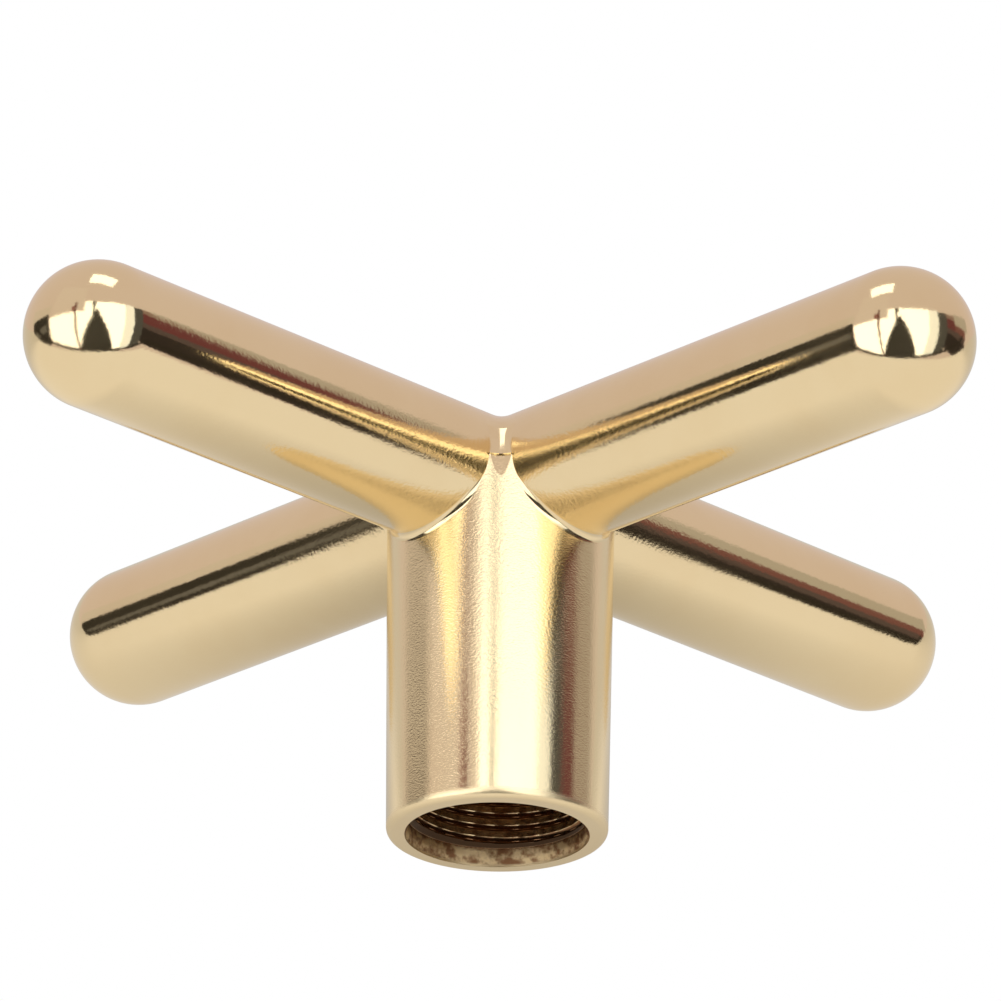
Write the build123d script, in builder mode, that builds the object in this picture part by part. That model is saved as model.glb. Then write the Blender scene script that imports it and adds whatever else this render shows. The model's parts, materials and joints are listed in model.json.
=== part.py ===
from build123d import *
import math
import os

# Cross rest head: two round-ended bars that cross at right angles on a threaded socket.
# Frame: millimetres, +Z up through the socket's mouth. The bars lie flat along X and Y, and the
# origin is under the crossing, at the level of the bars' lowest line.

# Bars
bar_diameter = 13.0
bar_length = 110.0

# Socket, measured from the plane of the bars' axes to its rim
socket_height = 32.5
socket_root_diameter = 20.5
socket_rim_diameter = 19.6
rim_rounding = 0.6

# Tapped hole: 5/8 inch, 22 threads to the inch, cut about three quarters deep, below a flared lead-in
thread_major_diameter = 15.875
thread_minor_diameter = 15.1
thread_pitch = 25.4 / 22
thread_turns = 13
thread_run_in = 0.6
thread_half_angle = 30.0
groove_overcut = 0.15
lead_in_diameter = 15.95
lead_in_depth = 1.7
lead_in_flare = 0.2
drill_depth = 20.0
drill_point_angle = 118.0

# Braze: the concave fillets between neighbouring bars, and the thin layer in each saddle of the socket,
# which ends in a fine concave fillet on the socket's wall
corner_radius = 2.2
corner_reach = 0.8
corner_height_share = 0.95
flute_radius = 1.7
flute_root = 9.89
flute_lean = 8.0
flute_length = 10.0
flute_below_axis = 2.6
braze_gap = 0.1
bead_radius = 0.7
bead_start = 1.5

bar_radius = bar_diameter / 2
bar_straight = bar_length / 2 - bar_radius
axis_height = bar_radius
rim_height = axis_height + socket_height
root_radius = socket_root_diameter / 2
rim_radius = socket_rim_diameter / 2
minor_radius = thread_minor_diameter / 2
lead_in_radius = lead_in_diameter / 2
lead_in_height = rim_height - lead_in_depth
drill_point = minor_radius / math.tan(math.radians(drill_point_angle / 2))
corner_centre = bar_radius + corner_radius

lap_plane = Plane.XY.offset(axis_height)
along_x = Plane((0, 0, axis_height), x_dir=(1, 0, 0), z_dir=(0, -1, 0))
along_y = Plane((0, 0, axis_height), x_dir=(0, 1, 0), z_dir=(1, 0, 0))

os.makedirs("parts", exist_ok=True)


def save(piece, name):
    """Labels a finished piece and writes it as a STEP file of the same name."""
    piece.label = name
    export_step(piece, f"parts/{name}.step")


# Bars, first whole. Each is a rod with a half-round dome at both ends.
with BuildSketch(Plane.XY) as rod_half:
    with BuildLine():
        Line((-bar_length / 2, 0), (bar_length / 2, 0))
        CenterArc((bar_straight, 0), bar_radius, 0, 90)
        Line((bar_straight, bar_radius), (-bar_straight, bar_radius))
        CenterArc((-bar_straight, 0), bar_radius, 90, 90)
    make_face()

with BuildPart() as rod_along_x:
    with BuildSketch(along_x):
        add(rod_half.sketch)
    revolve(axis=Axis((0, 0, axis_height), (1, 0, 0)))

with BuildPart() as rod_along_y:
    with BuildSketch(along_y):
        add(rod_half.sketch)
    revolve(axis=Axis((0, 0, axis_height), (0, 1, 0)))

# The lap: each rod gives up the half that the other one fills.
with BuildPart() as half_along_x:
    add(rod_along_x.part)
    split(bisect_by=lap_plane, keep=Keep.BOTTOM)

with BuildPart() as half_along_y:
    add(rod_along_y.part)
    split(bisect_by=lap_plane, keep=Keep.TOP)

with BuildPart() as lower_cross_bar:
    add(rod_along_x.part)
    add(half_along_y.part, mode=Mode.SUBTRACT)

with BuildPart() as upper_cross_bar:
    add(rod_along_y.part)
    add(half_along_x.part, mode=Mode.SUBTRACT)

save(lower_cross_bar.part, "lower_cross_bar")
save(upper_cross_bar.part, "upper_cross_bar")

# Cope: the round cuts that give the socket its four saddles, with room for braze over the bars.
bar_end_on = Plane((0, 0, axis_height), x_dir=(0, 0, -1), z_dir=(1, 0, 0))
bar_side_on = Plane((0, 0, axis_height), x_dir=(0, 0, -1), z_dir=(0, 1, 0))
with BuildPart() as cope_along_x:
    with BuildSketch(bar_end_on):
        Circle(bar_radius + braze_gap)
    extrude(amount=socket_root_diameter, both=True)

with BuildPart() as cope_along_y:
    with BuildSketch(bar_side_on):
        Circle(bar_radius + braze_gap)
    extrude(amount=socket_root_diameter, both=True)

# Flute: the straight valley between two bars. It starts in the braze and fades out in the socket's wall.
flute_lean_angle = math.radians(flute_lean)
flute_plane = Plane(
    (flute_root + flute_radius, 0, axis_height),
    x_dir=(math.cos(flute_lean_angle), 0, -math.sin(flute_lean_angle)),
    z_dir=(math.sin(flute_lean_angle), 0, math.cos(flute_lean_angle)),
)
with BuildPart() as flute:
    with BuildSketch(flute_plane.offset(-flute_below_axis)):
        Circle(flute_radius)
    extrude(amount=flute_length)

# One turn of the thread's groove. The trapezium opens past the minor radius, so it cuts cleanly.
groove_depth = (thread_major_diameter - thread_minor_diameter) / 2
root_half_width = thread_pitch / 16
mouth_half_width = root_half_width + (groove_depth + groove_overcut) * math.tan(
    math.radians(thread_half_angle)
)
with BuildPart() as groove_turn:
    with BuildLine() as turn_path:
        Helix(pitch=thread_pitch, height=thread_pitch, radius=minor_radius)
    with BuildSketch(Plane(turn_path.line @ 0, x_dir=(1, 0, 0), z_dir=turn_path.line % 0)):
        with BuildLine():
            Polyline(
                (-groove_overcut, -mouth_half_width),
                (groove_depth, -root_half_width),
                (groove_depth, root_half_width),
                (-groove_overcut, mouth_half_width),
                close=True,
            )
        make_face()
    sweep(path=turn_path.line, is_frenet=True)

# Socket: a tapered tube with a blind tapped hole, coped at its root to sit over both bars.
thread_end = lead_in_height + thread_run_in * thread_pitch
turn_heights = [thread_end - thread_pitch * (turn + 1) for turn in range(thread_turns)]
through_flute = Plane((0, 0, 0), x_dir=(1, 1, 0), z_dir=(1, -1, 0))
with BuildPart() as threaded_socket:
    with BuildSketch(through_flute) as socket_profile:
        with BuildLine():
            Polyline(
                (0, axis_height),
                (root_radius, axis_height),
                (rim_radius, rim_height),
                (lead_in_radius + lead_in_flare, rim_height),
                (lead_in_radius, lead_in_height),
                (minor_radius, lead_in_height - (lead_in_radius - minor_radius)),
                (minor_radius, rim_height - drill_depth),
                (0, rim_height - drill_depth - drill_point),
                close=True,
            )
        make_face()
        rim_point = through_flute.from_local_coords((rim_radius, rim_height, 0))
        rim_corner = socket_profile.vertices().sort_by_distance(rim_point)[0]
        fillet(rim_corner, radius=rim_rounding)
    revolve(axis=Axis.Z)
    add(cope_along_x.part, mode=Mode.SUBTRACT)
    add(cope_along_y.part, mode=Mode.SUBTRACT)
    with PolarLocations(0, 4, start_angle=45):
        add(flute.part, mode=Mode.SUBTRACT)
    with Locations([(0, 0, height) for height in turn_heights]):
        add(groove_turn.part, mode=Mode.SUBTRACT)

save(threaded_socket.part, "threaded_socket")

# Corner braze: the fillet that a ball of the corner radius leaves where it rolls between two bars,
# on the side away from the socket. The ball's centre runs on an ellipse in the diagonal plane.
diagonal = Plane((0, 0, axis_height), x_dir=(1, 1, 0), z_dir=(1, -1, 0))
track_end = 88.0
track_overlap = 6.0
with BuildPart() as ball_track:
    with BuildLine(diagonal) as centre_path:
        EllipticalCenterArc(
            (0, 0),
            corner_centre * math.sqrt(2),
            corner_centre,
            start_angle=-track_end,
            arc_size=track_end + track_overlap,
        )
    with BuildSketch(Plane(centre_path.line @ 0, z_dir=centre_path.line % 0)):
        Circle(corner_radius)
    sweep(path=centre_path.line)

contact_reach = bar_radius + corner_reach * corner_radius
corner_end = axis_height - corner_height_share * bar_radius
with BuildPart() as corner_braze:
    with BuildSketch(along_x):
        Ellipse(contact_reach, bar_radius)
    extrude(amount=-2 * bar_radius)
    with BuildSketch(along_y):
        Ellipse(contact_reach, bar_radius)
    extrude(amount=2 * bar_radius, mode=Mode.INTERSECT)
    split(bisect_by=lap_plane, keep=Keep.BOTTOM)
    split(bisect_by=Plane.XY.offset(corner_end), keep=Keep.TOP)
    add(rod_along_x.part, mode=Mode.SUBTRACT)
    add(rod_along_y.part, mode=Mode.SUBTRACT)
    add(ball_track.part, mode=Mode.SUBTRACT)
    with PolarLocations(0, 1, start_angle=45):
        add(flute.part, mode=Mode.SUBTRACT)

corner_names = ["northeast", "northwest", "southwest", "southeast"]
for turn, corner_name in enumerate(corner_names):
    with BuildPart() as turned_corner:
        with PolarLocations(0, 1, start_angle=90 * turn):
            add(corner_braze.part)
    save(turned_corner.part, f"corner_braze_{corner_name}")

# Saddle braze: the layer between a bar and its saddle, and the fillet along the line where the bar
# leaves the socket's wall. Each of the four keeps to its own quarter of the socket.
wall_slope = (root_radius - rim_radius) / socket_height
wall_reach = 12.0
wall_behind = Plane((0, 0, axis_height), x_dir=(-1, 0, 0), z_dir=(0, 1, 0))
with BuildPart() as socket_wall:
    with BuildSketch(wall_behind):
        with BuildLine():
            Polyline(
                (0, -wall_reach),
                (root_radius + wall_reach * wall_slope, -wall_reach),
                (root_radius - wall_reach * wall_slope, wall_reach),
                (0, wall_reach),
                close=True,
            )
        make_face()
    revolve(axis=Axis.Z)

with BuildPart() as bar_root:
    with BuildSketch(bar_end_on):
        Circle(bar_radius)
    extrude(amount=socket_root_diameter)

with BuildPart() as saddle_layer:
    add(cope_along_x.part)
    add(socket_wall.part, mode=Mode.INTERSECT)
    with BuildSketch(lap_plane):
        with BuildLine():
            Polyline(
                (0, 0),
                (socket_root_diameter, socket_root_diameter),
                (socket_root_diameter, -socket_root_diameter),
                close=True,
            )
        make_face()
    extrude(amount=wall_reach, mode=Mode.INTERSECT)
    add(rod_along_x.part, mode=Mode.SUBTRACT)
    add(rod_along_y.part, mode=Mode.SUBTRACT)

with BuildPart() as saddle_braze:
    add(socket_wall.part)
    add(bar_root.part)
    fillet(edges().filter_by(GeomType.BSPLINE), radius=bead_radius)
    add(socket_wall.part, mode=Mode.SUBTRACT)
    add(bar_root.part, mode=Mode.SUBTRACT)
    split(bisect_by=lap_plane.offset(bead_start), keep=Keep.TOP)
    add(saddle_layer.part)
    with PolarLocations(0, 2, start_angle=-45, angular_range=90, endpoint=True):
        add(flute.part, mode=Mode.SUBTRACT)

side_names = ["east", "north", "west", "south"]
for turn, side_name in enumerate(side_names):
    with BuildPart() as turned_saddle:
        with PolarLocations(0, 1, start_angle=90 * turn):
            add(saddle_braze.part)
    save(turned_saddle.part, f"saddle_braze_{side_name}")
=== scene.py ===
import json
import math

import bpy
import numpy as np
from mathutils import Matrix, Vector


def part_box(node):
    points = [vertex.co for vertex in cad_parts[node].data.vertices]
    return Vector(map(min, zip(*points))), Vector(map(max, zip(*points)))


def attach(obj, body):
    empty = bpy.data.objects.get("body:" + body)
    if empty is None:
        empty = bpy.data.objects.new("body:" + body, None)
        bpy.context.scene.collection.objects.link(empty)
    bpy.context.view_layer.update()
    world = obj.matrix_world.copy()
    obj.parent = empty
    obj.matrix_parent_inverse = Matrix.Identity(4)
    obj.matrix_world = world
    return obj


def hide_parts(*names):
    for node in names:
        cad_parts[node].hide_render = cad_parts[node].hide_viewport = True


# Cross rest head in polished brass, seen with the socket's mouth hanging down.
# Metres, +Z up through the socket's mouth; the bars lie flat along X and Y.

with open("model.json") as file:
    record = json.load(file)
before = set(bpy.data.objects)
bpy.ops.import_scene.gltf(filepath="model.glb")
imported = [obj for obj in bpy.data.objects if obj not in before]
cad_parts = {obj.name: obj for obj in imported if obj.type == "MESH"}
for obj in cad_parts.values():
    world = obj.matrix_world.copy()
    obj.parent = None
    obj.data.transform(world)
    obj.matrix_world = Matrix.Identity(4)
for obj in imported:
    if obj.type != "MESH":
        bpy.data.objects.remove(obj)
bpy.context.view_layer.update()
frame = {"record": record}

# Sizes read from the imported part
BAR_LOW, BAR_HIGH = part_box("lower_cross_bar")
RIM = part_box("threaded_socket")[1].z
BAR_R = (BAR_HIGH.z - BAR_LOW.z) / 2
BAR_HALF = BAR_HIGH.x
AXIS = BAR_LOW.z + BAR_R
MOUNTS = {mount["name"]: mount for mount in frame["record"]["mounts"]}
BORE_R = MOUNTS["socket_thread"]["dims"]["r_mm"] / 1000
HEIGHT = RIM - AXIS

MM = 0.001

# The socket's taper, rounded rim, flared lead-in, thread and drilled hole
ROOT_R = 10.25 * MM
RIM_R = 9.8 * MM
RIM_ROUND = 0.6 * MM
LEAD_R = 7.975 * MM
LEAD_DEPTH = 1.7 * MM
FLARE = 0.2 * MM
PITCH = 25.4 * MM / 22
GROOVE = 0.3875 * MM
ROOT_FLAT = PITCH / 16
THREAD_TOP = RIM - LEAD_DEPTH
THREAD_END = THREAD_TOP - 12.4 * PITCH
BORE_END = RIM - 20 * MM
DRILL_POINT = BORE_R / math.tan(math.radians(59))

# The flute above each corner: a straight valley that leans away from the socket's axis
FLUTE_R = 1.7 * MM
FLUTE_ROOT = 9.89 * MM
LEAN = math.tan(math.radians(8.0))

# The bead along each saddle; it spans so many degrees to either side of its arm and thins out at both ends
BEAD_R = 0.7 * MM
BEAD_SPAN = math.radians(38.4)
BEAD_TIP = math.radians(39.4)
BEAD_FADE = math.radians(7)
BEAD_THINNEST = 0.25

# The fillet in each corner: its radius is least at VALLEY_Z from the axes and grows with the square
# of the distance from there, by VALLEY_WIDENS per metre, up to CORNER_R
CORNER_R = 2.2 * MM
CORNER_END = 8.25 * MM
VALLEY_R = 1.434 * MM
VALLEY_Z = -1.43 * MM
VALLEY_WIDENS = 122

# The photograph's angle
CAMERA_TURN = 44.5
CAMERA_RISE = 23.14
CAMERA_DISTANCE = 0.6516
CAMERA_ROLL = 180.68
LENS = 260.7
SHIFT_X = -0.0006
SHIFT_Y = -0.0044
AIM = Vector((0, 0, AXIS))


# ---------- shader helpers ----------
NOISE_ROUGHNESS = 0.55


def new_material(name):
    """An empty node material; returns the material and its node tree."""
    material = bpy.data.materials.new(name)
    material.use_nodes = True
    tree = material.node_tree
    tree.nodes.clear()
    return material, tree


def node(tree, kind, **settings):
    """A node with its settings."""
    made = tree.nodes.new(kind)
    for key, value in settings.items():
        setattr(made, key, value)
    return made


def math_node(tree, operation, first, second=None, third=None):
    """A math node on numbers or outputs; returns its output."""
    made = node(tree, "ShaderNodeMath", operation=operation)
    for index, value in enumerate((first, second, third)):
        if value is None:
            continue
        if isinstance(value, (int, float)):
            made.inputs[index].default_value = value
        else:
            tree.links.new(value, made.inputs[index])
    return made.outputs[0]


def ramp(tree, value, low, high, start=0.0, end=1.0):
    """Smooth step of value from low to high, scaled to start and end."""
    made = node(tree, "ShaderNodeMapRange", interpolation_type="SMOOTHSTEP")
    made.inputs["From Min"].default_value = low
    made.inputs["From Max"].default_value = high
    made.inputs["To Min"].default_value = start
    made.inputs["To Max"].default_value = end
    tree.links.new(value, made.inputs["Value"])
    return made.outputs["Result"]


def noise(tree, scale, detail, stretch=(1, 1, 1)):
    """Noise over the piece's own coordinates, scale in cells per metre."""
    place = node(tree, "ShaderNodeTexCoord")
    mapping = node(tree, "ShaderNodeMapping")
    mapping.inputs["Scale"].default_value = stretch
    made = node(tree, "ShaderNodeTexNoise")
    made.inputs["Scale"].default_value = scale
    made.inputs["Detail"].default_value = detail
    made.inputs["Roughness"].default_value = NOISE_ROUGHNESS
    tree.links.new(place.outputs["Object"], mapping.inputs["Vector"])
    tree.links.new(mapping.outputs["Vector"], made.inputs["Vector"])
    return made.outputs["Fac"]


def mix_colour(tree, share, first, second):
    """Mixes two colours, each a tuple or an output, by the output share."""
    made = node(tree, "ShaderNodeMix", data_type="RGBA")
    tree.links.new(share, made.inputs["Factor"])
    for socket, value in (("A", first), ("B", second)):
        target = [s for s in made.inputs if s.name == socket and s.type == "RGBA"][0]
        if isinstance(value, tuple):
            target.default_value = value
        else:
            tree.links.new(value, target)
    return [s for s in made.outputs if s.type == "RGBA"][0]


def radius_and_height(tree):
    """Distance from the Z axis, and height, of the shaded point."""
    place = node(tree, "ShaderNodeTexCoord")
    parts = node(tree, "ShaderNodeSeparateXYZ")
    tree.links.new(place.outputs["Object"], parts.inputs[0])
    x, y, z = parts.outputs
    squares = math_node(tree, "ADD", math_node(tree, "MULTIPLY", x, x), math_node(tree, "MULTIPLY", y, y))
    return math_node(tree, "SQRT", squares), z


def end_in(tree, shader):
    """Links a shader to a new material output."""
    out = node(tree, "ShaderNodeOutputMaterial")
    tree.links.new(shader.outputs[0], out.inputs[0])


def emission(tree, colour):
    """The emission shader of a material that glows in one colour."""
    shader = node(tree, "ShaderNodeEmission")
    shader.inputs["Color"].default_value = (*colour, 1)
    end_in(tree, shader)
    return shader


def below_rim(tree, z, deep, shallow, start=0.0, end=1.0):
    """Ramp over the height z, between two depths below the rim in millimetres."""
    return ramp(tree, z, RIM - deep * MM, RIM - shallow * MM, start, end)


def finish_metal(tree, colour, roughness, height, depth):
    """Principled metal with a bump of the given depth in metres."""
    shader = node(tree, "ShaderNodeBsdfPrincipled")
    shader.inputs["Metallic"].default_value = 1.0
    tree.links.new(colour, shader.inputs["Base Color"])
    tree.links.new(roughness, shader.inputs["Roughness"])
    bump = node(tree, "ShaderNodeBump")
    bump.inputs["Strength"].default_value = 1.0
    bump.inputs["Distance"].default_value = depth
    tree.links.new(height, bump.inputs["Height"])
    tree.links.new(bump.outputs["Normal"], shader.inputs["Normal"])
    end_in(tree, shader)


# ---------- materials ----------
BRASS = (0.90, 0.74, 0.46, 1)
BRASS_WARM = (0.86, 0.68, 0.40, 1)
BROWN = (0.32, 0.17, 0.085, 1)
# Painted shade for the dark band in the step where the thread starts
THREAD_START_SHADE = (0.07, 0.04, 0.022, 1)
HUB_INNER = 12 * MM
HUB_OUTER = 34 * MM


def polished_brass():
    """Bright plate with a light orange peel and a finer scratched grain near the hub."""
    material, tree = new_material("polished_brass")
    radius, _ = radius_and_height(tree)
    hub = ramp(tree, radius, HUB_INNER, HUB_OUTER, 1.0, 0.0)
    patches = noise(tree, 120, 3)
    peel = noise(tree, 700, 2)
    grit = noise(tree, 3200, 3)
    colour = mix_colour(tree, ramp(tree, patches, 0.35, 0.75, 0.0, 0.45), BRASS, BRASS_WARM)
    roughness = math_node(tree, "ADD", ramp(tree, patches, 0.3, 0.7, 0.07, 0.11),
                          math_node(tree, "MULTIPLY", hub, 0.03))
    height = math_node(tree, "ADD", math_node(tree, "MULTIPLY", peel, 0.5),
                       math_node(tree, "MULTIPLY", grit, math_node(tree, "MULTIPLY_ADD", hub, 0.8, 0.35)))
    finish_metal(tree, colour, roughness, height, 1.5e-5)
    return material


def hole_colour(tree, radius, z, mouth):
    """Brown, with a painted highlight in brass on the thread's crests, brass gilt in the mouth, and painted
    shade where the thread starts.
    """
    highlight_and_wear_noise = noise(tree, 1100, 4)
    # The crests get a painted highlight in brass, broken up by noise; the same noise patches the brass gilt
    # in the mouth
    crest_highlight = ramp(tree, radius, BORE_R + 0.02 * MM, BORE_R + 0.08 * MM, 1.0, 0.0)
    highlight_and_gilt = math_node(tree, "MULTIPLY", crest_highlight, ramp(tree, highlight_and_wear_noise, 0.36, 0.6, 0.1, 0.9))
    highlight_and_gilt = math_node(tree, "MAXIMUM", highlight_and_gilt, math_node(tree, "MULTIPLY", mouth, ramp(tree, highlight_and_wear_noise, 0.35, 0.6)))
    # A dark band of painted shade in the step where the thread starts
    shoulder = math_node(tree, "MULTIPLY", below_rim(tree, z, 2.3, 2.1),
                         below_rim(tree, z, 1.75, 1.68, 1.0, 0.0))
    return mix_colour(tree, shoulder, mix_colour(tree, highlight_and_gilt, BROWN, BRASS_WARM), THREAD_START_SHADE)


def socket_brass():
    """Plate with a vertical brushed mottle outside, brown and dull inside the hole."""
    material, tree = new_material("socket_brass")
    radius, z = radius_and_height(tree)
    mottle = noise(tree, 4000, 3, (1, 1, 1.8))
    drawn = noise(tree, 2600, 2, (1, 1, 0.05))
    patches = noise(tree, 150, 3, (1, 1, 0.5))
    hole = ramp(tree, radius, LEAD_R + 0.15 * MM, LEAD_R + 0.25 * MM, 1.0, 0.0)
    inside = math_node(tree, "MULTIPLY", hole, below_rim(tree, z, 0.3, 0.1, 1.0, 0.0))
    mouth = below_rim(tree, z, 1.9, 1.3)
    edge = below_rim(tree, z, 1.1, 0.6)
    outer = mix_colour(tree, ramp(tree, patches, 0.35, 0.75, 0.0, 0.4), BRASS, BRASS_WARM)
    colour = mix_colour(tree, inside, outer, hole_colour(tree, radius, z, mouth))
    dull = math_node(tree, "MULTIPLY", inside, math_node(tree, "MULTIPLY_ADD", mouth, 0.12, 0.12))
    roughness = math_node(tree, "ADD", ramp(tree, mottle, 0.35, 0.7, 0.09, 0.14), dull)
    roughness = math_node(tree, "MULTIPLY_ADD", edge, 0.22, roughness)
    brushed = math_node(tree, "MULTIPLY", mottle, below_rim(tree, z, 20, 1.0, 1.0, 0.5))
    height = math_node(tree, "ADD", brushed, math_node(tree, "MULTIPLY", drawn, 0.15))
    finish_metal(tree, colour, roughness, height, 2.1e-5)
    return material


def seam_brass():
    """The braze: the same plate over a slightly rougher surface."""
    material, tree = new_material("seam_brass")
    grain = noise(tree, 1600, 4)
    patches = noise(tree, 900, 3)
    colour = mix_colour(tree, ramp(tree, patches, 0.4, 0.7, 0.0, 0.5), BRASS, BRASS_WARM)
    finish_metal(tree, colour, ramp(tree, grain, 0.35, 0.7, 0.1, 0.18), grain, 8.0e-6)
    return material


# ---------- meshes ----------
def add_piece(name, points, faces, material, nodes, sharp=35.0):
    """A smooth-shaded mesh on the body "root" that stands for CAD nodes."""
    mesh = bpy.data.meshes.new(name)
    mesh.from_pydata([tuple(p) for p in points], [], faces)
    mesh.validate()
    mesh.polygons.foreach_set("use_smooth", [True] * len(mesh.polygons))
    mesh.set_sharp_from_angle(angle=math.radians(sharp))
    mesh.materials.append(material)
    piece = bpy.data.objects.new(name, mesh)
    bpy.context.scene.collection.objects.link(piece)
    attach(piece, "root")
    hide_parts(*nodes)


def tube_faces(rows, columns):
    """Quads of a grid of closed rings, ring after ring."""
    faces = []
    for row in range(rows - 1):
        low = row * columns
        high = low + columns
        for column in range(columns):
            after = (column + 1) % columns
            faces.append((low + column, low + after, high + after, high + column))
    return faces


def capped(rings):
    """Points and faces of rings (rows, columns, 3) whose two ends close on single points."""
    rows, columns, _ = rings.shape
    points = np.vstack([rings.reshape(-1, 3), rings[0].mean(0), rings[-1].mean(0)])
    faces = tube_faces(rows, columns)
    start, end = rows * columns, rows * columns + 1
    last = (rows - 1) * columns
    for column in range(columns):
        after = (column + 1) % columns
        faces.append((start, after, column))
        faces.append((end, last + column, last + after))
    return points, faces


def rod_rings(columns=256):
    """A bar along X about its own axis, its upper half lapped away where the other bar crosses."""
    turn = np.linspace(0, 2 * math.pi, columns, endpoint=False)
    across = BAR_R * np.sin(turn)
    up = BAR_R * np.cos(turn)
    top = up > 0
    straight = BAR_HALF - BAR_R
    # Where the straight stretch ends: at the lap's edge, or on the plain half a little before it
    lap_edge = np.where(top, np.abs(across), BAR_R - up / 2)
    rings = []
    # The round end, from just beside its pole
    for bend in np.radians(np.linspace(0.5, 90, 44)):
        x = np.full(columns, straight + BAR_R * math.cos(bend))
        rings.append((x, across * math.sin(bend), up * math.sin(bend)))
    # The straight stretch, up to the edge of the lap
    for share in np.linspace(0, 1, 40)[1:]:
        rings.append((straight + (lap_edge - straight) * share, across, up))
    # The wall of the lap, which fits the side of the other bar
    for share in np.linspace(0, 1, 8)[1:]:
        x = lap_edge + (BAR_R - lap_edge) * share
        wall = np.sqrt(np.maximum(BAR_R**2 - x**2, 0))
        rings.append((x, across, np.where(top, wall, up)))
    # The flat of the lap, in to the middle
    for share in np.linspace(0, 1, 6)[1:]:
        rings.append((np.full(columns, BAR_R * (1 - share)), across, np.where(top, 0, up)))
    half = [np.stack(ring, -1) for ring in rings]
    mirrored = [ring * np.array([-1, 1, 1]) for ring in half[-2::-1]]
    return np.array(half + mirrored)


def build_bars(material):
    """Both bars; the upper one is the lower one turned over and laid along Y."""
    points, faces = capped(rod_rings())
    lift = np.array([0, 0, AXIS])
    add_piece("lower_bar", points + lift, faces, material, ["lower_cross_bar"])
    turned = points[:, [1, 0, 2]] * np.array([1, 1, -1])
    add_piece("upper_bar", turned + lift, faces, material, ["upper_cross_bar"])


def wall_radius(height):
    """The socket's plain taper, height from the bars' axes."""
    return ROOT_R + (RIM_R - ROOT_R) * height / HEIGHT


def fluted_radius(turn, height):
    """The taper with the shallow flute between two bars, which fades out as it leans away."""
    plain = wall_radius(height)
    centre = FLUTE_ROOT + FLUTE_R + LEAN * height
    beside = np.mod(turn, math.pi / 2) - math.pi / 4
    inside = np.maximum(FLUTE_R**2 - (centre * np.sin(beside)) ** 2, 0)
    groove = np.where(inside > 0, centre * np.cos(beside) - np.sqrt(inside), centre)
    # A soft minimum of the two rounds the edges of the flute
    soft = 0.01 * MM
    low = np.minimum(plain, groove)
    gap = np.abs(plain - groove)
    return low - soft * np.log1p(np.exp(-gap / soft))


def saddle_height(x, y):
    """Height of the coped root above the bars' axes."""
    near = np.minimum(np.abs(x), np.abs(y))
    return np.sqrt(np.maximum(BAR_R**2 - near**2, 0))


def socket_columns():
    """Angles round the socket, closest together where the saddles are steep and in the flutes."""
    edge = math.asin(BAR_R / ROOT_R)
    saddle = [math.asin(BAR_R * math.sin(t) / ROOT_R) for t in np.linspace(-math.pi / 2, math.pi / 2, 65)]
    flute = list(np.linspace(edge, math.pi / 2 - edge, 41))[1:-1]
    quarter = saddle + flute
    return np.array([angle + side * math.pi / 2 for side in range(4) for angle in quarter])


def thread_radius(turn, level):
    """The tapped hole: a trapezium groove that climbs one pitch a turn and fades in at its inner end."""
    start = THREAD_TOP - PITCH * 0.4
    along = np.mod(level - start - PITCH * turn / (2 * math.pi), PITCH) - PITCH / 2
    mouth = ROOT_FLAT + GROOVE * math.tan(math.radians(30))
    share = np.clip((mouth - np.abs(along)) / (mouth - ROOT_FLAT), 0, 1)
    fade = np.clip((level - THREAD_END) / PITCH, 0, 1)
    return BORE_R + GROOVE * share * fade


def ring_at(turn, radius, level):
    """A ring about +Z; its radius and level are each one number, or one for each column."""
    return np.stack([radius * np.cos(turn), radius * np.sin(turn), np.full_like(turn, level)], -1)


def root_rings(turn):
    """Rings over the coped root, from its middle out; returns them and the heights of the wall's foot."""
    foot = np.zeros(len(turn))
    for _ in range(4):
        radius = fluted_radius(turn, foot)
        foot = saddle_height(radius * np.cos(turn), radius * np.sin(turn))
    rings = []
    for share in np.linspace(0.02, 1, 16):
        reach = radius * share
        height = saddle_height(reach * np.cos(turn), reach * np.sin(turn))
        rings.append(ring_at(turn, reach, AXIS + height))
    return rings, foot


def wall_rings(turn, foot):
    """Rings up the fluted wall, closest together at its foot."""
    top = HEIGHT - RIM_ROUND
    rings = []
    for share in np.linspace(0, 1, 140)[1:] ** 1.25:
        height = foot + (top - foot) * share
        rings.append(ring_at(turn, fluted_radius(turn, height), AXIS + height))
    return rings


def rim_rings(turn):
    """Rings over the rounded rim and its flat, then down the flared lead-in."""
    flat = RIM_R - RIM_ROUND
    rings = []
    for bend in np.linspace(0, math.pi / 2, 16)[1:]:
        level = RIM - RIM_ROUND + RIM_ROUND * math.sin(bend)
        rings.append(ring_at(turn, flat + RIM_ROUND * math.cos(bend), level))
    for share in np.linspace(0, 1, 6)[1:]:
        rings.append(ring_at(turn, flat + (LEAD_R + FLARE - flat) * share, RIM))
    for share in np.linspace(0, 1, 9)[1:]:
        rings.append(ring_at(turn, LEAD_R + FLARE * (1 - share), RIM - LEAD_DEPTH * share))
    return rings


def hole_rings(turn):
    """Rings down the thread, past the shoulder where it starts, to the hole's drill point."""
    rings = []
    for level in np.arange(THREAD_TOP - 0.03 * MM, THREAD_END, -PITCH / 24):
        shoulder = LEAD_R - (THREAD_TOP - level)
        rings.append(ring_at(turn, np.maximum(thread_radius(turn, level), shoulder), level))
    for level in (THREAD_END, BORE_END):
        rings.append(ring_at(turn, BORE_R, level))
    for share in (0.25, 0.5, 0.75, 0.97):
        rings.append(ring_at(turn, BORE_R * (1 - share), BORE_END - DRILL_POINT * share))
    return rings


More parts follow.
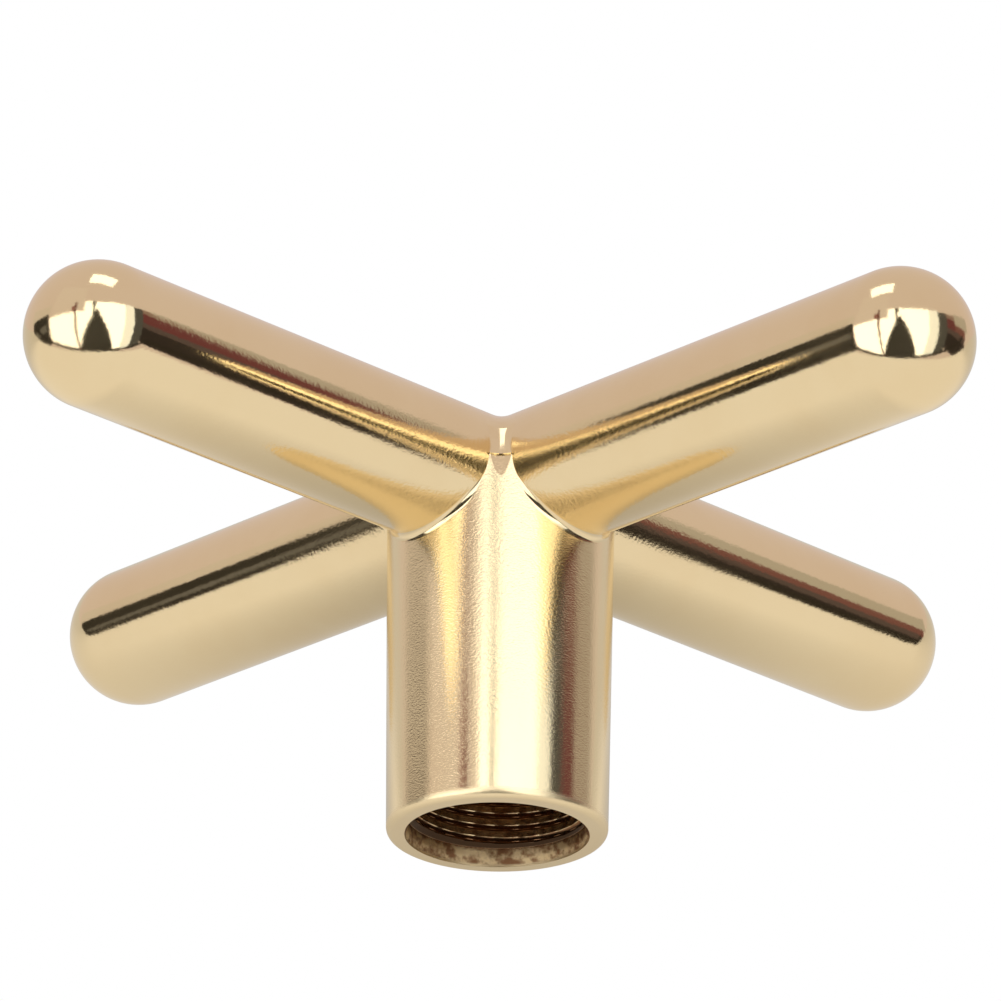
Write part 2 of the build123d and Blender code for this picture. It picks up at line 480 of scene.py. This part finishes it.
def socket_rings():
    """Rings from the middle of the hidden root out, up the wall, over the rim and down the hole."""
    turn = socket_columns()
    root, foot = root_rings(turn)
    return np.array(root + wall_rings(turn, foot) + rim_rings(turn) + hole_rings(turn))


def build_socket(material):
    """The tapped socket in one closed mesh."""
    points, faces = capped(socket_rings())
    add_piece("socket", points, faces, material, ["threaded_socket"])


def arc_between(centre, first, second, count):
    """Points on the circle about centre from first to second, for arrays of centres."""
    a, b = first - centre, second - centre
    radius = np.linalg.norm(a, axis=-1, keepdims=True)
    a, b = a / radius, b / np.linalg.norm(b, axis=-1, keepdims=True)
    angle = np.arccos(np.clip((a * b).sum(-1, keepdims=True), -1, 1))
    steps = np.linspace(0, 1, count)[:, None, None]
    swept = (np.sin((1 - steps) * angle) * a + np.sin(steps * angle) * b) / np.sin(angle)
    return centre + radius * swept


def strip_rings(centre, first, second, behind, count=13):
    """Closed cross-sections along a fillet: its concave arc from second to first, then a point behind it."""
    arc = arc_between(centre, second, first, count)
    return np.concatenate([arc, behind[None]], 0).transpose(1, 0, 2)


def turned_about_z(points, quarter):
    """Points turned by quarters of a turn about +Z."""
    c, s = round(math.cos(quarter * math.pi / 2)), round(math.sin(quarter * math.pi / 2))
    return points @ np.array([[c, s, 0], [-s, c, 0], [0, 0, 1]])


def bead_rings():
    """The fine fillet where the east bar leaves the socket's wall."""
    angle = np.linspace(-BEAD_SPAN, BEAD_SPAN, 121)
    size = BEAD_R * np.clip((BEAD_TIP - np.abs(angle)) / BEAD_FADE, BEAD_THINNEST, 1)
    # The wall hardly tapers along the seam, so one radius stands for it
    wall = wall_radius(BAR_R * 0.8)
    x, y = (wall + size) * np.cos(angle), (wall + size) * np.sin(angle)
    z = np.sqrt((BAR_R + size) ** 2 - y**2)
    share = BAR_R / (BAR_R + size)
    on_bar = np.stack([x, y * share, z * share], -1)
    on_wall = np.stack([wall * np.cos(angle), wall * np.sin(angle), z], -1)
    centre = np.stack([x, y, z], -1)
    behind = on_bar + on_wall - centre - 0.04 * MM * np.stack([np.cos(angle), np.sin(angle), 0 * z], -1)
    lift = np.array([0, 0, AXIS])
    return strip_rings(centre + lift, on_bar + lift, on_wall + lift, behind + lift)


def corner_rings():
    """The fillet between the bars of one quarter, from the socket's root to the far side."""
    # The first ring only closes the end, where the flute takes over
    steps = np.append(-2.05, np.linspace(-2.0, 90.0, 75))
    z = -CORNER_END * np.sin(np.radians(steps))
    reach = BAR_R + np.minimum(CORNER_R, VALLEY_R + VALLEY_WIDENS * (z - VALLEY_Z) ** 2)
    c = np.sqrt(reach**2 - z**2)
    share = BAR_R / reach
    on_x = np.stack([c, c * share, z * share], -1)
    on_y = np.stack([c * share, c, z * share], -1)
    inner = np.sqrt(np.maximum(BAR_R**2 - (z * share) ** 2, 0)) - 0.05 * MM
    behind = np.stack([inner, inner, z * share], -1)
    lift = np.array([0, 0, AXIS])
    return strip_rings(np.stack([c, c, z], -1) + lift, on_x + lift, on_y + lift, behind + lift, 33)


def build_braze(material):
    """The four saddle beads and the four corner fillets."""
    for quarter, name in enumerate(("east", "north", "west", "south")):
        points, faces = capped(bead_rings())
        add_piece(f"saddle_bead_{name}", turned_about_z(points, quarter), faces, material,
                  [f"saddle_braze_{name}"], 60.0)
    for quarter, name in enumerate(("northeast", "northwest", "southwest", "southeast")):
        points, faces = capped(corner_rings())
        add_piece(f"corner_fillet_{name}", turned_about_z(points, quarter), faces, material,
                  [f"corner_braze_{name}"], 60.0)


# ---------- studio ----------
# Directions are given as the camera's own turn and rise: turn 0 faces the camera and grows to the
# picture's right, and rise grows to the picture's top, which is the part's -Z.
SLOPE = 1.04
WHITE = (1.85, 1.85, 1.85)
BEIGE = (0.68, 0.59, 0.585)
PAPER = (0.86, 0.823, 0.79)
TABLE_LEFT = -0.45
TABLE_RIGHT = 0.31
TABLE_BACK = -0.15
TABLE_FRONT = 1.4
SOFTBOX_WIDE = 0.07
SOFTBOX_DEEP = 0.05
CARD_ROWS = 9


def direction(turn, rise):
    """Unit vector in the part's frame of a direction seen from the camera's side."""
    t, e = math.radians(turn), math.radians(rise)
    v = Vector((-math.cos(e) * math.sin(t), -math.cos(e) * math.cos(t), -math.sin(e)))
    return Matrix.Rotation(math.radians(CAMERA_TURN), 3, "Z") @ v


def horizon(turn):
    """Rise of the tilted table's horizon at a turn."""
    return -math.degrees(math.atan(SLOPE * math.cos(math.radians(turn))))


def edge_low(turn):
    """Lower side of the dark strip along the horizon."""
    return horizon(turn) - 2.6


def edge_high(turn):
    """Upper side of the dark strip along the horizon."""
    return horizon(turn) + 1.8


def figure_top(turn):
    """Outline of the photographer's head and shoulders, which slopes away on both sides."""
    return 17 - abs(turn + 2) * 1.9


def glow(name, colour):
    """Emission in one colour."""
    material, tree = new_material(name)
    emission(tree, colour)
    return material


def stage_mesh(name, points, faces, material, seen):
    """A stage object, seen only by the camera or only in reflections."""
    mesh = bpy.data.meshes.new(name)
    mesh.from_pydata([tuple(p) for p in points], [], faces)
    mesh.materials.append(material)
    made = bpy.data.objects.new(name, mesh)
    bpy.context.scene.collection.objects.link(made)
    made.visible_camera = seen == "camera"
    made.visible_glossy = seen == "reflections"
    made.visible_diffuse = False
    made.visible_shadow = False
    made.visible_transmission = False
    made.visible_volume_scatter = False


def card(name, first, last, low, high, colour, distance=1.2):
    """A curved card between two turns, from rise low to rise high; each may be a function of turn."""
    points, faces = [], []
    steps = max(2, int(abs(last - first) / 2) + 1)
    for turn in np.linspace(first, last, steps):
        bottom = low(turn) if callable(low) else low
        top = high(turn) if callable(high) else high
        for rise in np.linspace(bottom, max(top, bottom + 0.01), CARD_ROWS):
            points.append(AIM + direction(turn, rise) * distance)
    for step in range(steps - 1):
        for row in range(CARD_ROWS - 1):
            here = step * CARD_ROWS + row
            after = here + CARD_ROWS
            faces.append((here, here + 1, after + 1, after))
    stage_mesh(name, points, faces, glow(name, colour), "reflections")


def table_paper(centre, ahead):
    """Pale paper, in the head's own shade near the centre and behind it."""
    material, tree = new_material("table_paper")
    place = node(tree, "ShaderNodeNewGeometry")
    away = node(tree, "ShaderNodeVectorMath", operation="DISTANCE")
    tree.links.new(place.outputs["Position"], away.inputs[0])
    away.inputs[1].default_value = centre
    forward = node(tree, "ShaderNodeVectorMath", operation="DOT_PRODUCT")
    tree.links.new(place.outputs["Position"], forward.inputs[0])
    forward.inputs[1].default_value = ahead
    middle = centre.dot(ahead)
    behind = ramp(tree, forward.outputs["Value"], middle - 0.06, middle, 0.75, 1.0)
    shade = math_node(tree, "MULTIPLY", ramp(tree, away.outputs["Value"], 0.0, 0.06, 0.55, 1.0), behind)
    tree.links.new(shade, emission(tree, PAPER).inputs["Strength"])
    return material


def build_table():
    """The pale table that the head lies on, tilted as in the picture, seen only in reflections."""
    up = (direction(0, 0) * SLOPE + Vector((0, 0, -1))).normalized()
    side = up.cross(Vector((0, 0, 1))).normalized()
    ahead = side.cross(up)
    if ahead.dot(direction(0, 0)) < 0:
        ahead = -ahead
    rest = BAR_R + (BAR_HALF - BAR_R) * math.sqrt(0.5) * SLOPE / math.sqrt(1 + SLOPE**2)
    centre = AIM - up * rest
    corners = ((TABLE_LEFT, TABLE_BACK), (TABLE_RIGHT, TABLE_BACK),
               (TABLE_RIGHT, TABLE_FRONT), (TABLE_LEFT, TABLE_FRONT))
    points = [centre + side * x + ahead * y for x, y in corners]
    stage_mesh("table", points, [(0, 1, 2, 3)], table_paper(centre, ahead), "reflections")


def build_room():
    """What stands round the table: windows, the photographer's dark shape, darker things at the sides.

    A card's numbers are its first and last turn, its low and high rise, its colour and its distance.
    """
    card("window_left", -74, -20, horizon, 13, WHITE)
    card("window_middle", -20, 40, horizon, 27, WHITE)
    card("window_edge", 40, 55, horizon, 27, (1.1, 1.15, 1.2))
    card("wall_left", -70, -20, 13, 50, (0.70, 0.62, 0.61))
    card("wall_far_left", -112, -74, 17, 27, (0.64, 0.58, 0.55))
    card("dark_left", -108, -76, -16, 17.5, (0.04, 0.036, 0.03))
    card("shelf_left", -108, -80, 0, 7, (0.15, 0.145, 0.14), 1.15)
    card("grey_right", 55, 69, horizon, 26, (0.085, 0.085, 0.085))
    card("floor_right", 69, 108, -16, 4, (0.035, 0.028, 0.026))
    card("low_right", 69, 106, 4, 10, (0.10, 0.075, 0.075))
    card("red_right", 69, 84, 10, 21, (0.15, 0.05, 0.055))
    card("brown_right", 69, 84, 21, 26, (0.27, 0.19, 0.17))
    card("red_far_right", 84, 106, 10, 17, (0.19, 0.085, 0.08))
    card("wall_right", 84, 112, 17, 28, (0.46, 0.43, 0.40))
    card("table_edge", -100, 100, edge_low, edge_high, (0.03, 0.025, 0.02), 1.1)
    card("figure", -36, 27, horizon, figure_top, (0.03, 0.027, 0.022), 1.1)
    card("window_bar_left", -34.5, -31.5, horizon, 27, (0.13, 0.035, 0.03), 1.1)
    card("window_frame_left", -39.0, -34.5, 13, 21, (0.26, 0.10, 0.095), 1.1)
    card("window_bar_middle", -9.0, -4.0, 20.8, 27, (0.03, 0.027, 0.02), 1.1)
    card("window_bar_low", -8.0, -5.2, horizon, 20.8, (0.03, 0.027, 0.02), 1.1)


def build_overhead():
    """The small softbox just above the head."""
    left = -direction(90, 0)
    ahead = direction(0, 0)
    centre = AIM + left * 0.022 + ahead * 0.088 + Vector((0, 0, -0.138))
    facing = (AIM - centre).normalized()
    side = facing.cross(Vector((0, 0, 1))).normalized()
    other = facing.cross(side)
    wide = side * SOFTBOX_WIDE / 2
    deep = other * SOFTBOX_DEEP / 2
    points = [centre - wide - deep, centre + wide - deep, centre + wide + deep, centre - wide + deep]
    stage_mesh("overhead_softbox", points, [(0, 1, 2, 3)], glow("overhead_softbox", WHITE), "reflections")


def build_floor():
    """A plain pale floor under the bars."""
    points = [(-6, -6, 0), (6, -6, 0), (6, 6, 0), (-6, 6, 0)]
    stage_mesh("floor", points, [(0, 1, 2, 3)], glow("floor_white", (1.0, 1.0, 1.0)), "camera")


def build_world():
    """Beige round the head in reflections, white behind it for the camera."""
    world = bpy.data.worlds.new("studio")
    bpy.context.scene.world = world
    world.use_nodes = True
    tree = world.node_tree
    tree.nodes.clear()
    rays = node(tree, "ShaderNodeLightPath")
    colour = mix_colour(tree, rays.outputs["Is Camera Ray"], (*BEIGE, 1), (1, 1, 1, 1))
    back = node(tree, "ShaderNodeBackground")
    out = node(tree, "ShaderNodeOutputWorld")
    tree.links.new(colour, back.inputs["Color"])
    tree.links.new(back.outputs[0], out.inputs[0])


def build_camera():
    """The photograph's camera: below the head in the picture, so above it in the part's frame."""
    turn, rise = math.radians(CAMERA_TURN), math.radians(CAMERA_RISE)
    back = Vector((math.sin(turn) * math.cos(rise), -math.cos(turn) * math.cos(rise), math.sin(rise)))
    data = bpy.data.cameras.new("photo_camera")
    data.lens = LENS
    data.sensor_width = 36
    data.clip_start = 0.05
    data.clip_end = 20
    camera = bpy.data.objects.new("photo_camera", data)
    bpy.context.scene.collection.objects.link(camera)
    camera.rotation_mode = "QUATERNION"
    level = (-back).to_track_quat("-Z", "Y")
    camera.rotation_quaternion = level @ Matrix.Rotation(math.radians(CAMERA_ROLL), 3, "Z").to_quaternion()
    camera.location = AIM + back * CAMERA_DISTANCE
    data.shift_x = SHIFT_X
    data.shift_y = SHIFT_Y
    bpy.context.scene.camera = camera


plate = polished_brass()
build_bars(plate)
build_socket(socket_brass())
build_braze(seam_brass())
build_table()
build_room()
build_overhead()
build_floor()
build_world()
build_camera()
bpy.context.scene.view_settings.view_transform = "Standard"
